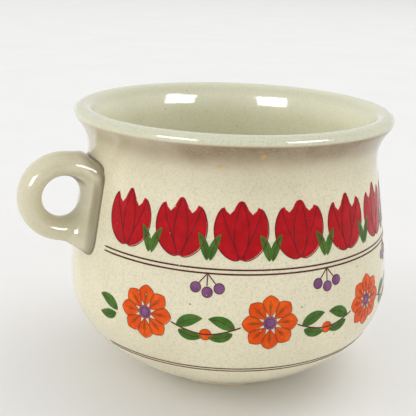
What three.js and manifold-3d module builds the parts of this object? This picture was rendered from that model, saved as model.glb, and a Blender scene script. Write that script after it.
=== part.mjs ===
// A glazed soup bowl with one closed-loop handle, made the way a potter makes it:
// a turned bowl, a cast handle, and the layer of slip that lutes the handle to the wall.
// Millimetres, +Z up, standing on z = 0, with the handle along -X.
import * as THREE from "three";
import { ParametricGeometry } from "three/addons/geometries/ParametricGeometry.js";
import { mergeVertices } from "three/addons/utils/BufferGeometryUtils.js";
import Module from "manifold-3d";

const wasm = await Module();
wasm.setup();

// Bowl: outside sizes
const bowlHeight = 90;
const rimRadius = 52.2;
const bellyRadius = 53.9;
const bellyHeight = 32.7;
const lipOverhang = 4.35;
const neckDrop = 13.8;

// Bowl: lip, wall and floor
const lipWidth = 6.8;
const lipDrop = 2.1;
const lipCrestInset = 2.7;
const lipInnerDrop = 2.6;
const wallThickness = 4.2;
const floorThickness = 5;
const flatFloorRadius = 18;

// Bowl: foot ring
const footRadius = 25.5;
const footHeight = 1.2;
const footWidth = 3.2;
const footEdge = 0.4;
const footRecess = 1.5;

// Handle: closed loop with a flared back
const handleDrop = 14.6;
const loopHeight = 28.8;
const loopReach = 21.5;
const strandThickness = 7.7;
const strandWidth = 10;
const backWidth = 26.4;
const backTail = 2.4;
const webThickness = 1.3;

// Joint between handle and wall
const slipThickness = 0.5;
const seatGap = 0.3;

// Curve shapes: how far each tangent reaches along its span, and how square a corner is
const underbodyAngle = THREE.MathUtils.degToRad(25);
const underbodyReach = 0.63;
const bellyReach = 0.46;
const shoulderReach = 0.28;
const neckReach = 0.12;
const throatReach = 0.62;
const lipReach = 0.17;
const lipRound = 0.65;
const crestReach = 0.65;
const bowlCornerReach = 0.6;
const flareOnset = 0.3;
const backSquareness = 4;
const backSectionSquareness = 4;

// Facets
const turns = 64;
const curveSteps = 7;
const loopSteps = 64;
const sectionSteps = 28;

// Heights and radii that follow from the sizes above
const lipHeight = bowlHeight - lipDrop;
const neckHeight = bowlHeight - neckDrop;
const neckRadius = rimRadius - lipOverhang;
const crestRadius = rimRadius - lipCrestInset;
const innerLipRadius = rimRadius - lipWidth;
const innerLipHeight = bowlHeight - lipInnerDrop;
const innerNeckRadius = neckRadius - wallThickness;
const innerBellyRadius = bellyRadius - wallThickness;
const floorHeight = footRecess + floorThickness;
const seatDepth = seatGap + slipThickness + seatGap;
const seatHeight = neckHeight - handleDrop;
const seat = wallAt(seatHeight);

// Outside of the wall from the top of the foot to the edge of the lip, pushed out by an offset.
function drawOuterWall(path, offset) {
  const bellyRise = bellyHeight - footHeight;
  const neckRise = neckHeight - bellyHeight;
  const lipRise = lipHeight - neckHeight;
  const reach = underbodyReach * (bellyRadius - footRadius);
  path.bezierCurveTo(
    footRadius + offset + reach * Math.cos(underbodyAngle),
    footHeight + reach * Math.sin(underbodyAngle),
    bellyRadius + offset,
    bellyHeight - bellyReach * bellyRise,
    bellyRadius + offset,
    bellyHeight,
  );
  path.bezierCurveTo(
    bellyRadius + offset,
    bellyHeight + shoulderReach * neckRise,
    neckRadius + offset,
    neckHeight - neckReach * neckRise,
    neckRadius + offset,
    neckHeight,
  );
  path.bezierCurveTo(
    neckRadius + offset,
    neckHeight + throatReach * lipRise,
    rimRadius + offset,
    lipHeight - lipReach * lipRise,
    rimRadius + offset,
    lipHeight,
  );
}

// Turns a profile of (radius, height) about the Z axis.
function turnProfile(path) {
  const geometry = new THREE.LatheGeometry(path.getPoints(curveSteps), turns);
  geometry.rotateX(Math.PI / 2);
  return geometry;
}

// Foot ring, outer wall, rolled lip and inside, from the middle of the underside
// to the middle of the floor.
function bowlProfile() {
  const path = new THREE.Path();
  const ringInner = footRadius - footWidth;
  path.moveTo(0, footRecess);
  path.lineTo(ringInner - footEdge, footRecess);
  path.lineTo(ringInner, footRecess - footEdge);
  path.lineTo(ringInner, footEdge);
  path.lineTo(ringInner + footEdge, 0);
  path.lineTo(footRadius - footEdge, 0);
  path.lineTo(footRadius, footEdge);
  path.lineTo(footRadius, footHeight);
  drawOuterWall(path, 0);
  path.bezierCurveTo(
    rimRadius,
    lipHeight + lipRound * lipDrop,
    crestRadius + crestReach * lipCrestInset,
    bowlHeight,
    crestRadius,
    bowlHeight,
  );
  path.bezierCurveTo(
    crestRadius - crestReach * (crestRadius - innerLipRadius),
    bowlHeight,
    innerLipRadius,
    innerLipHeight + lipRound * lipInnerDrop,
    innerLipRadius,
    innerLipHeight,
  );
  path.bezierCurveTo(
    innerLipRadius,
    innerLipHeight - lipReach * (innerLipHeight - neckHeight),
    innerNeckRadius,
    neckHeight + throatReach * (innerLipHeight - neckHeight),
    innerNeckRadius,
    neckHeight,
  );
  path.bezierCurveTo(
    innerNeckRadius,
    neckHeight - neckReach * (neckHeight - bellyHeight),
    innerBellyRadius,
    bellyHeight + shoulderReach * (neckHeight - bellyHeight),
    innerBellyRadius,
    bellyHeight,
  );
  path.bezierCurveTo(
    innerBellyRadius,
    bellyHeight - bowlCornerReach * (bellyHeight - floorHeight),
    flatFloorRadius + bowlCornerReach * (innerBellyRadius - flatFloorRadius),
    floorHeight,
    flatFloorRadius,
    floorHeight,
  );
  path.lineTo(0, floorHeight);
  return path;
}

// The space filled by the bowl and by everything closer to its wall than the offset.
function wallBlank(offset) {
  const path = new THREE.Path();
  path.moveTo(0, footHeight);
  path.lineTo(footRadius + offset, footHeight);
  drawOuterWall(path, offset);
  path.lineTo(0, lipHeight);
  return solidFrom(turnProfile(path));
}

// Radius of the outer wall at a height, and how far it leans in there.
function wallAt(height) {
  const path = new THREE.Path();
  path.moveTo(footRadius, footHeight);
  drawOuterWall(path, 0);
  const points = path.getPoints(curveSteps);
  const above = points.findIndex((point) => point.y >= height);
  const low = points[above - 1];
  const high = points[above];
  return {
    radius: THREE.MathUtils.mapLinear(height, low.y, high.y, low.x, high.x),
    lean: Math.atan2(low.x - high.x, high.y - low.y),
  };
}

// Distance from the centre of an oval to its edge, along an angle.
function ovalReach(angle, halfWidth, halfHeight, squareness) {
  const across = Math.abs(Math.cos(angle) / halfWidth) ** squareness;
  const up = Math.abs(Math.sin(angle) / halfHeight) ** squareness;
  return (across + up) ** (-1 / squareness);
}

// The handle before it is cut to the wall: an oval strand that runs round the finger hole and
// widens into a broad back, which passes into the wall. It stands square to the leaning wall.
function loopBlank() {
  const outerHalf = loopHeight / 2;
  const holeHalf = outerHalf - strandThickness;
  const centre = loopReach - outerHalf;
  const holeBackHalf = centre - seatDepth - webThickness;
  const backHalf = centre + wallThickness;
  const point = (u, v, target) => {
    const round = 2 * Math.PI * u;
    const across = 2 * Math.PI * v;
    const facesWall = Math.cos(round) < 0;
    const outer = facesWall
      ? ovalReach(round, backHalf, outerHalf, backSquareness)
      : outerHalf;
    const hole = facesWall ? ovalReach(round, holeBackHalf, holeHalf, 2) : holeHalf;
    const half = (outer - hole) / 2;
    const along = hole + half + half * Math.cos(across);
    const out = centre + along * Math.cos(round);
    const flare = THREE.MathUtils.smoothstep(centre - out, flareOnset * centre, centre);
    const level = along * Math.sin(round);
    const up = level + (level / outerHalf) * (level < 0 ? backTail * flare : 0);
    const power = 2 / THREE.MathUtils.lerp(2, backSectionSquareness, flare);
    const halfWidth = THREE.MathUtils.lerp(strandWidth, backWidth, flare) / 2;
    const side = Math.sign(Math.sin(across)) * Math.abs(Math.sin(across)) ** power;
    target.set(
      -seat.radius - out * Math.cos(seat.lean) + up * Math.sin(seat.lean),
      halfWidth * side,
      seatHeight + out * Math.sin(seat.lean) + up * Math.cos(seat.lean),
    );
  };
  return solidFrom(new ParametricGeometry(point, loopSteps, sectionSteps));
}

// A closed geometry as a solid that can be cut and joined.
function solidFrom(geometry) {
  const bare = geometry.clone();
  bare.deleteAttribute("normal");
  bare.deleteAttribute("uv");
  const merged = mergeVertices(bare, 1e-3);
  return new wasm.Manifold(
    new wasm.Mesh({
      numProp: 3,
      vertProperties: merged.attributes.position.array,
      triVerts: new Uint32Array(merged.index.array),
    }),
  );
}

// A solid back as a geometry.
function geometryFrom(solid) {
  const mesh = solid.getMesh();
  const geometry = new THREE.BufferGeometry();
  geometry.setAttribute("position", new THREE.BufferAttribute(mesh.vertProperties, 3));
  geometry.setIndex(new THREE.BufferAttribute(mesh.triVerts, 1));
  geometry.computeVertexNormals();
  return geometry;
}

function makePiece(name, geometry, colour, roughness) {
  const material = new THREE.MeshStandardMaterial({ color: colour, roughness, metalness: 0 });
  const mesh = new THREE.Mesh(geometry, material);
  mesh.name = name;
  return mesh;
}

const loop = loopBlank();
const handleSolid = loop.subtract(wallBlank(seatDepth));
const slipSolid = loop
  .intersect(wallBlank(seatGap + slipThickness))
  .subtract(wallBlank(seatGap));

// The bowl stands so that the whole object, handle and all, is centred on the origin.
const loopCentre = loopReach - loopHeight / 2;
const handleReach = seat.radius + loopCentre * Math.cos(seat.lean) + loopHeight / 2;
const bowl = new THREE.Group();
bowl.position.x = (handleReach - Math.max(rimRadius, bellyRadius)) / 2;
bowl.add(makePiece("bowl_body", turnProfile(bowlProfile()), 0xe2dcc3, 0.22));
bowl.add(makePiece("handle", geometryFrom(handleSolid), 0xcdc9b0, 0.2));
bowl.add(makePiece("handle_slip", geometryFrom(slipSolid), 0xc4bfa6, 0.35));

const soupBowl = new THREE.Group();
soupBowl.add(bowl);

export default soupBowl;
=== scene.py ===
"""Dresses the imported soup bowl: fine clay bodies, glaze, fired print, studio light and camera.

Lengths are millimetres, with the bowl's turning axis at the origin, until a mesh, a light or the camera
is made.
"""

import logging
import math
from collections.abc import Mapping, Sequence
from dataclasses import dataclass, field, replace
from enum import Enum

import bpy
import numpy as np
from mathutils import Matrix, Vector
from mathutils.geometry import delaunay_2d_cdt


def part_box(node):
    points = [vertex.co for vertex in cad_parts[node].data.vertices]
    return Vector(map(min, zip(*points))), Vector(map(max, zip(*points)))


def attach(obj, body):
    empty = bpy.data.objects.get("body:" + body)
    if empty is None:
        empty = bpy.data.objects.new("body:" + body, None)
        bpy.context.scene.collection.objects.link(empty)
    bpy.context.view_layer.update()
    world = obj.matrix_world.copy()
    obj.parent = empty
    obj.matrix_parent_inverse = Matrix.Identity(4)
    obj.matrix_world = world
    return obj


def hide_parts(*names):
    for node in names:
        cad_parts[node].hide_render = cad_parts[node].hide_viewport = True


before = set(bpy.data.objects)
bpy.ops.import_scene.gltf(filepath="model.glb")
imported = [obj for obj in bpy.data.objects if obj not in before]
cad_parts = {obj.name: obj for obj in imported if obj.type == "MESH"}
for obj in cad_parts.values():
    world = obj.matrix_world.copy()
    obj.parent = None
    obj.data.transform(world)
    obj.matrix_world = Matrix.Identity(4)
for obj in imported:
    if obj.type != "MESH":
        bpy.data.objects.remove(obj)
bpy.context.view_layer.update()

LOG = logging.getLogger("soup_bowl")
MM = 0.001
BODY = "root"
BOWL_LOW, BOWL_HIGH = (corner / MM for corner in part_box("bowl_body"))
AXIS = Vector(((BOWL_LOW.x + BOWL_HIGH.x) / 2, (BOWL_LOW.y + BOWL_HIGH.y) / 2, 0))

# Directions in a profile of (radius, height).
OUT = np.array((1.0, 0.0))
UP = np.array((0.0, 1.0))

# Angle from the handle in degrees, and height, of each rust mark.
RUST_PLACES = ((26.6, 57.8), (62.3, 80.9), (76.1, 84.2), (77.3, 32.4))

# Heights between which the handle's back lies on the wall.
HANDLE_SPAN = (45.0, 76.0)

Colour = tuple[float, float, float, float]
Face = Sequence[int]


def srgb(red: int, green: int, blue: int) -> Colour:
    """Turns a colour in 8-bit steps into linear light.

    Args:
        red: Red, from 0 to 255.
        green: Green, from 0 to 255.
        blue: Blue, from 0 to 255.

    Returns:
        The linear colour with full alpha.
    """
    steps = (step / 255 for step in (red, green, blue))
    linear = [s / 12.92 if s <= 0.04045 else ((s + 0.055) / 1.055) ** 2.4 for s in steps]
    return (*linear, 1.0)


def smoothstep(low: float, high: float, value: np.ndarray) -> np.ndarray:
    """Rises smoothly from 0 at low to 1 at high.

    Args:
        low: Where the rise starts.
        high: Where it ends.
        value: The values to place on it.

    Returns:
        The height of the rise at each value.
    """
    share = np.clip((value - low) / (high - low), 0, 1)
    return share * share * (3 - 2 * share)


def bezier(start: Sequence[float], pull: Sequence[float], push: Sequence[float], end: Sequence[float],
           steps: int = 32) -> np.ndarray:
    """Samples one cubic span, without its first point.

    Args:
        start: First point.
        pull: Control point that the span leaves towards.
        push: Control point that the span arrives from.
        end: Last point.
        steps: How many points to give.

    Returns:
        The points, one to a row.
    """
    t = np.linspace(0, 1, steps + 1)[1:, None]
    a, b, c, d = (np.asarray(point, float) for point in (start, pull, push, end))
    return (1 - t) ** 3 * a + 3 * t * (1 - t) ** 2 * b + 3 * t**2 * (1 - t) * c + t**3 * d


def from_axis(point: np.ndarray) -> tuple[float, ...]:
    """Moves a point given about the turning axis to the part's frame."""
    return tuple((point + np.array(AXIS)).tolist())


def add_piece(name: str, points: np.ndarray, faces: Sequence[Face],
              sharp_angle: float = 40) -> bpy.types.Object:
    """Makes a smooth mesh piece that rides on the bowl's only body.

    Args:
        name: The piece's name.
        points: Corners in millimetres about the turning axis.
        faces: Corner numbers of each face.
        sharp_angle: Edges that bend more than this, in degrees, stay sharp.

    Returns:
        The new object.
    """
    mesh = bpy.data.meshes.new(name)
    mesh.from_pydata(((points + np.array(AXIS)) * MM).tolist(), [], faces)
    mesh.polygons.foreach_set("use_smooth", [True] * len(mesh.polygons))
    mesh.set_sharp_from_angle(angle=math.radians(sharp_angle))
    mesh.update()
    piece = bpy.data.objects.new(name, mesh)
    bpy.context.scene.collection.objects.link(piece)
    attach(piece, BODY)
    LOG.info("%s: %d faces", name, len(mesh.polygons))
    return piece


def ring_faces(rows: int, columns: int, closed_rows: bool) -> list[Face]:
    """Lists the quads of a grid whose rows are closed rings.

    Args:
        rows: How many rings there are.
        columns: How many points a ring has.
        closed_rows: Whether the last ring joins the first one, which also turns the quads over.

    Returns:
        The quads, each as four point numbers.
    """
    last = rows if closed_rows else rows - 1
    quads = [
        (
            row * columns + column,
            row * columns + (column + 1) % columns,
            (row + 1) % rows * columns + (column + 1) % columns,
            (row + 1) % rows * columns + column,
        )
        for row in range(last)
        for column in range(columns)
    ]
    return [quad[::-1] for quad in quads] if closed_rows else quads


class Signal:
    """An output socket in a material. Python's operators on it add Math nodes."""

    def __init__(self, graph: "ShaderGraph", socket: bpy.types.NodeSocket | None) -> None:
        """Keeps the graph and the socket."""
        self.graph = graph
        self.socket = socket

    def __add__(self, other: "Value") -> "Signal":
        """Adds."""
        return self.graph.math("ADD", self, other)

    __radd__ = __add__

    def __sub__(self, other: "Value") -> "Signal":
        """Takes other away."""
        return self.graph.math("SUBTRACT", self, other)

    def __rsub__(self, other: "Value") -> "Signal":
        """Takes this away from other."""
        return self.graph.math("SUBTRACT", other, self)

    def __mul__(self, other: "Value") -> "Signal":
        """Multiplies."""
        return self.graph.math("MULTIPLY", self, other)

    __rmul__ = __mul__

    def rise(self, low: "Value", high: "Value") -> "Signal":
        """Rises smoothly from 0 at low to 1 at high.

        Args:
            low: Where the rise starts.
            high: Where it ends.

        Returns:
            The height of the rise.
        """
        settings = {"interpolation_type": "SMOOTHSTEP"}
        return self.graph.add("ShaderNodeMapRange", settings, {0: self, 1: low, 2: high, 3: 0.0, 4: 1.0})


Value = Signal | float | Sequence[float]


@dataclass(frozen=True)
class Specks:
    """Round specks of uneven size: lengths are millimetres, and share is that of the cells that hold one."""

    spacing: float
    radius: float
    share: float
    strength: float
    core: float = 0.55
    blur: float = 0.002


class ShaderGraph:
    """The node tree of one material or of the room's light."""

    def __init__(self, owner: bpy.types.Material | bpy.types.World) -> None:
        """Starts with no nodes.

        Args:
            owner: The material or world that the nodes belong to.
        """
        owner.use_nodes = True
        self.owner = owner
        self.tree = owner.node_tree
        self.tree.nodes.clear()

    def add(self, kind: str, settings: Mapping[str, object] | None = None,
            sockets: Mapping[int | str, Value] | None = None, output: int | str = 0) -> Signal:
        """Adds any node.

        Args:
            kind: The node's type.
            settings: Its properties, which are set before its sockets.
            sockets: Its inputs by number or name, each a value or a link.
            output: The output to give back.

        Returns:
            That output, which is empty for a node that has none.
        """
        node = self.tree.nodes.new(kind)
        for key, value in (settings or {}).items():
            setattr(node, key, value)
        for key, value in (sockets or {}).items():
            if isinstance(value, Signal):
                self.tree.links.new(value.socket, node.inputs[key])
            else:
                node.inputs[key].default_value = value
        return Signal(self, node.outputs[output] if len(node.outputs) else None)

    def math(self, operation: str, *values: Value) -> Signal:
        """Adds a Math node for an operation on values."""
        return self.add("ShaderNodeMath", {"operation": operation}, dict(enumerate(values)))

    def vector(self, operation: str, *values: Value, output: int | str = 0) -> Signal:
        """Adds a Vector Math node for an operation on values."""
        return self.add("ShaderNodeVectorMath", {"operation": operation}, dict(enumerate(values)), output)

    def axis(self, vector: Signal, name: str) -> Signal:
        """Gives the X, Y or Z of a vector."""
        return self.add("ShaderNodeSeparateXYZ", None, {0: vector}, name)

    def mix(self, factor: Value, low: Value, high: Value) -> Signal:
        """Mixes two colours.

        Args:
            factor: Share of the second colour.
            low: The colour at 0.
            high: The colour at 1.

        Returns:
            The mixed colour.
        """
        # The node's colours are its inputs 6 and 7 and its output 2.
        return self.add("ShaderNodeMix", {"data_type": "RGBA"}, {0: factor, 6: low, 7: high}, 2)

    def place(self) -> Signal:
        """Gives the place on the piece, in millimetres."""
        here = self.add("ShaderNodeTexCoord", output="Object")
        return self.add("ShaderNodeVectorMath", {"operation": "SCALE"}, {0: here, "Scale": 1 / MM})

    def noise(self, place: Signal, grain: float, detail: float = 2.0) -> Signal:
        """Gives soft noise.

        Args:
            place: Where to read it.
            grain: Size of its blotches in millimetres.
            detail: How many finer layers it has.

        Returns:
            Noise from 0 to 1.
        """
        return self.add("ShaderNodeTexNoise", None, {"Vector": place, "Scale": 1 / grain, "Detail": detail})

    def specks(self, place: Signal, specks: Specks) -> Signal:
        """Scatters specks.

        Args:
            place: Where to read them.
            specks: Their sizes and strength.

        Returns:
            The strength on a speck and 0 off it.
        """
        cells = {"Vector": place, "Scale": 1 / specks.spacing}
        distance = self.add("ShaderNodeTexVoronoi", None, cells, "Distance")
        chance = self.add("ShaderNodeTexVoronoi", None, cells, "Color")
        draw = self.add("ShaderNodeSeparateColor", None, {0: chance}, "Red")
        growth = specks.radius / specks.spacing / specks.share
        size = self.math("MAXIMUM", (draw - (1 - specks.share)) * growth, 0.0)
        return (1 - distance.rise(size * specks.core, size + specks.blur)) * specks.strength

    def finish(self, colour: Value, roughness: Value, height: Signal, depth: float,
               fixed: Mapping[str, float]) -> bpy.types.Material:
        """Joins everything to the surface shader.

        Args:
            colour: Base colour.
            roughness: Roughness.
            height: Height of the relief, from 0 to 1.
            depth: Height of the relief at 1, in millimetres.
            fixed: Other sockets of the shader and their values.

        Returns:
            The finished material.
        """
        relief = self.add("ShaderNodeBump", None, {"Strength": 1.0, "Distance": depth * MM, "Height": height})
        sockets = {"Base Color": colour, "Roughness": roughness, "Normal": relief, **fixed}
        surface = self.add("ShaderNodeBsdfPrincipled", None, sockets)
        self.add("ShaderNodeOutputMaterial", None, {"Surface": surface})
        return self.owner


@dataclass(frozen=True)
class ToastAndShade:
    """The brown under the lip: mostly painted shade and painted reflection, partly glaze toasted by the fire.
    Depths are below the lip, and sides are along X.
    """

    # Brown of the painted shade and painted reflection under the lip.
    colour: Colour = srgb(132, 110, 80)
    strength: float = 0.95
    wide: tuple[float, float] = (17.0, 5.0)
    wide_share: float = 0.35
    close: tuple[float, float] = (9.0, 2.2)
    close_share: float = 0.65
    # The painted shade thins towards the handle's side and gains a little on the far side.
    handle_side: tuple[float, float] = (-42.0, -16.0)
    handle_share: float = 0.4
    far_side: tuple[float, float] = (25.0, 52.0)
    far_gain: float = 0.15
    cloud_share: float = 0.3
    mottle_share: float = 0.2
    mottle_size: float = 0.8

    def share(self, graph: ShaderGraph, place: Signal, cloud: Signal, lip: tuple[float, float]) -> Signal:
        """Marks the brown under the lip, mostly painted shade and painted reflection.

        Args:
            graph: The material's nodes.
            place: Place on the piece.
            cloud: The glaze's clouds, from 0 to 1.
            lip: Heights between which the wall turns into the lip.

        Returns:
            The brown's share of the colour.
        """
        height, across = graph.axis(place, "Z"), graph.axis(place, "X")
        wide, close = (
            height.rise(lip[0] - deep, lip[0] - shallow)
            for deep, shallow in (self.wide, self.close)
        )
        band = (self.wide_share * wide + self.close_share * close) * (1 - height.rise(*lip))
        side = self.handle_share + (1 - self.handle_share) * across.rise(*self.handle_side)
        side = side + self.far_gain * across.rise(*self.far_side)
        mottle = graph.noise(place, self.mottle_size, 2)
        uneven = (1 - self.cloud_share) + self.cloud_share * cloud + self.mottle_share * mottle
        return band * side * self.strength * uneven


@dataclass(frozen=True)
class RustMark:
    """A small ragged rust mark in the glaze."""

    middle: tuple[float, ...]
    colour: Colour = srgb(196, 156, 84)
    radius: float = 1.1
    core: float = 0.2
    raggedness: float = 1.6
    ragged_size: float = 0.8
    strength: float = 0.7

    def share(self, graph: ShaderGraph, place: Signal) -> Signal:
        """Marks the rust.

        Args:
            graph: The material's nodes.
            place: Place on the piece.

        Returns:
            The rust's share of the colour.
        """
        away = graph.vector("DISTANCE", place, self.middle, output="Value")
        ragged = away + self.raggedness * self.radius * (graph.noise(place, self.ragged_size, 3) - 0.5)
        return (1 - ragged.rise(self.core, self.radius)) * self.strength


@dataclass(frozen=True)
class PaintedJointShade:
    """Painted shade where the handle's flanks, tail and top meet the wall, with the lip's painted shadow on
    the top. It fades off the wall.
    """

    wall_radius: float
    wall_lean: float
    # Colour of the painted shade.
    colour: Colour = srgb(120, 106, 78)
    strength: float = 0.75
    flank: tuple[float, float] = (6.5, 11.0)
    tail: tuple[float, float] = (46.5, 50.5)
    # Heights of the top, where the lip's painted shadow falls.
    top: tuple[float, float] = (70.5, 75.0)
    full: float = 0.3
    full_at_top: float = 2.5
    fade: float = 1.1
    fade_at_edge: float = 1.8
    fade_at_top: float = 5.0
    loss_at_top: float = 0.2

    def share(self, graph: ShaderGraph, place: Signal) -> Signal:
        """Marks the painted shade at the joint.

        Args:
            graph: The material's nodes.
            place: Place on the piece.

        Returns:
            The painted shade's share of the colour.
        """
        height = graph.axis(place, "Z")
        flat = graph.vector("MULTIPLY_ADD", place, (1.0, 1.0, 0.0), tuple(-AXIS))
        away = graph.vector("LENGTH", flat, output="Value")
        off = away - (self.wall_radius + self.wall_lean * height)
        aside = graph.math("ABSOLUTE", graph.axis(flat, "Y"))
        edge = graph.math("MAXIMUM", aside.rise(*self.flank), 1 - height.rise(*self.tail))
        top = height.rise(*self.top)
        start = self.full + self.full_at_top * top
        end = self.fade + self.fade_at_edge * edge + self.fade_at_top * top
        return (1 - off.rise(start, end)) * self.strength * (1 - self.loss_at_top * top)


@dataclass(frozen=True)
class DarkHoleRim:
    """Darker brown along the upper edge of the finger hole."""

    middle: tuple[float, ...]
    colour: Colour = srgb(96, 72, 46)
    strength: float = 0.8
    reach: tuple[float, float] = (7.2, 8.1)
    upper: tuple[float, float] = (3.0, 6.2)

    def share(self, graph: ShaderGraph, place: Signal) -> Signal:
        """Marks the darker rim.

        Args:
            graph: The material's nodes.
            place: Place on the piece.

        Returns:
            The dark brown's share of the colour.
        """
        out, _, up = self.middle
        flat = graph.vector("MULTIPLY_ADD", place, (1.0, 0.0, 1.0), (-out, 0.0, -up))
        away = graph.vector("LENGTH", flat, output="Value")
        return (1 - away.rise(*self.reach)) * graph.axis(flat, "Z").rise(*self.upper) * self.strength


@dataclass(frozen=True)
class Glaze:
    """Glossy cream glaze over speckled clay. Heights and sizes of noise are millimetres."""

    name: str
    body: Colour
    cloud: Colour
    lip: Colour | None = None
    lip_heights: tuple[float, float] = (85.4, 88.4)
    # Brown under the lip, mostly painted shade and painted reflection.
    toast_and_shade: ToastAndShade | None = None
    # Rust marks, painted shade at the handle's joint and a darker rim on the finger hole.
    marks_and_shade: tuple[RustMark | PaintedJointShade | DarkHoleRim, ...] = ()
    fleck: Colour = srgb(168, 158, 130)
    speck: Colour = srgb(126, 104, 78)
    fine_specks: Specks = Specks(1.5, 0.28, 0.3, 0.5)
    dark_specks: Specks = Specks(3.1, 0.42, 0.28, 0.75)
    cloud_size: float = 22.0
    cloud_levels: tuple[float, float] = (0.35, 0.72)
    grain_size: float = 0.7
    grain_levels: tuple[float, float] = (0.42, 0.75)
    grain_share: float = 0.18
    gloss_low: float = 0.06
    gloss_spread: float = 0.05
    gloss_size: float = 9.0
    wave_size: float = 11.0
    ripple_size: float = 2.2
    ripple_share: float = 0.25
    relief_depth: float = 0.12
    refraction: float = 1.52

    def material(self) -> bpy.types.Material:
        """Builds the glaze's node tree.

        Returns:
            The material.
        """
        graph = ShaderGraph(bpy.data.materials.new(self.name))
        place = graph.place()
        cloud = graph.noise(place, self.cloud_size, 3).rise(*self.cloud_levels)
        grain = graph.noise(place, self.grain_size, 2).rise(*self.grain_levels)
        colour = graph.mix(cloud, self.body, self.cloud)
        # Painted shade and painted reflection under the lip, mixed in as brown.
        if self.toast_and_shade:
            brown = self.toast_and_shade.share(graph, place, cloud, self.lip_heights)
            colour = graph.mix(brown, colour, self.toast_and_shade.colour)
        if self.lip:
            colour = graph.mix(graph.axis(place, "Z").rise(*self.lip_heights), colour, self.lip)
        colour = graph.mix(grain * self.grain_share, colour, self.fleck)
        colour = graph.mix(graph.specks(place, self.fine_specks), colour, self.fleck)
        colour = graph.mix(graph.specks(place, self.dark_specks), colour, self.speck)
        for mark in self.marks_and_shade:
            colour = graph.mix(mark.share(graph, place), colour, mark.colour)
        roughness = self.gloss_low + self.gloss_spread * graph.noise(place, self.gloss_size, 2)
        wave, ripple = (graph.noise(place, size, 1) for size in (self.wave_size, self.ripple_size))
        relief = (1 - self.ripple_share) * wave + self.ripple_share * ripple
        return graph.finish(colour, roughness, relief, self.relief_depth, {"IOR": self.refraction})


@dataclass(frozen=True)
class BareClay:
    """Unglazed biscuit clay of the foot ring."""

    name: str = "bare_clay"
    light: Colour = srgb(214, 196, 164)
    dark: Colour = srgb(176, 150, 116)
    specks: Specks = Specks(1.2, 0.3, 0.4, 0.6)
    grain_size: float = 0.6
    grain_depth: float = 0.1
    scuff_size: float = 5.0
    scuff_levels: tuple[float, float] = (0.4, 0.7)
    scuff_share: float = 0.7
    roughness_low: float = 0.72
    roughness_spread: float = 0.2
    refraction: float = 1.45

    def material(self) -> bpy.types.Material:
        """Builds the clay's node tree.

        Returns:
            The material.
        """
        graph = ShaderGraph(bpy.data.materials.new(self.name))
        place = graph.place()
        grain = graph.noise(place, self.grain_size, 4)
        scuff = graph.noise(place, self.scuff_size, 3).rise(*self.scuff_levels)
        colour = graph.mix(scuff * self.scuff_share, self.light, self.dark)
        colour = graph.mix(graph.specks(place, self.specks), colour, self.dark)
        roughness = self.roughness_low + self.roughness_spread * grain
        return graph.finish(colour, roughness, grain, self.grain_depth, {"IOR": self.refraction})


@dataclass(frozen=True)
class Enamel:
    """A fired print colour with uneven laydown and a few pinholes."""

    name: str
    full: Colour
    thin: Colour
    ground: Colour = srgb(228, 220, 190)
    pinholes: Specks = Specks(1.6, 0.22, 0.2, 0.7)
    streak_size: float = 3.2
    streak_levels: tuple[float, float] = (0.38, 0.72)
    streak_share: float = 0.75
    fine_size: float = 0.5
    fine_share: float = 0.2
    wave_size: float = 11.0
    relief_depth: float = 0.1
    roughness_low: float = 0.1
    roughness_spread: float = 0.08
    refraction: float = 1.52
    sheen: float = 0.16

    def material(self) -> bpy.types.Material:
        """Builds the enamel's node tree.

        Returns:
            The material.
        """
        graph = ShaderGraph(bpy.data.materials.new(self.name))
        place = graph.place()
        streak = graph.noise(place, self.streak_size, 3).rise(*self.streak_levels)
        fine = graph.noise(place, self.fine_size, 2)
        colour = graph.mix(streak * self.streak_share, self.full, self.thin)
        colour = graph.mix(graph.specks(place, self.pinholes), colour, self.ground)
        relief = (1 - self.fine_share) * graph.noise(place, self.wave_size, 1) + self.fine_share * fine
        roughness = self.roughness_low + self.roughness_spread * fine
        fixed = {"IOR": self.refraction, "Specular IOR Level": self.sheen}
        return graph.finish(colour, roughness, relief, self.relief_depth, fixed)


@dataclass(frozen=True)
class PaleFloor:
    """Matt, even studio floor."""

    name: str = "pale_floor"
    tone: Colour = srgb(236, 235, 232)
    shade: Colour = srgb(229, 228, 225)
    cloud_size: float = 90.0
    grain_size: float = 1.5
    grain_depth: float = 0.02
    roughness_low: float = 0.55
    roughness_spread: float = 0.1
    refraction: float = 1.4

    def material(self) -> bpy.types.Material:
        """Builds the floor's node tree.

        Returns:
            The material.
        """
        graph = ShaderGraph(bpy.data.materials.new(self.name))
        place = graph.place()
        cloud = graph.noise(place, self.cloud_size, 3)
        colour = graph.mix(cloud, self.tone, self.shade)
        grain = graph.noise(place, self.grain_size, 2)
        roughness = self.roughness_low + self.roughness_spread * cloud
        return graph.finish(colour, roughness, grain, self.grain_depth, {"IOR": self.refraction})


class Zone(Enum):
    """Which finish a stretch of the bowl's profile takes."""

    FOOT = 0
    OUTSIDE = 1
    INSIDE = 2


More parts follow.
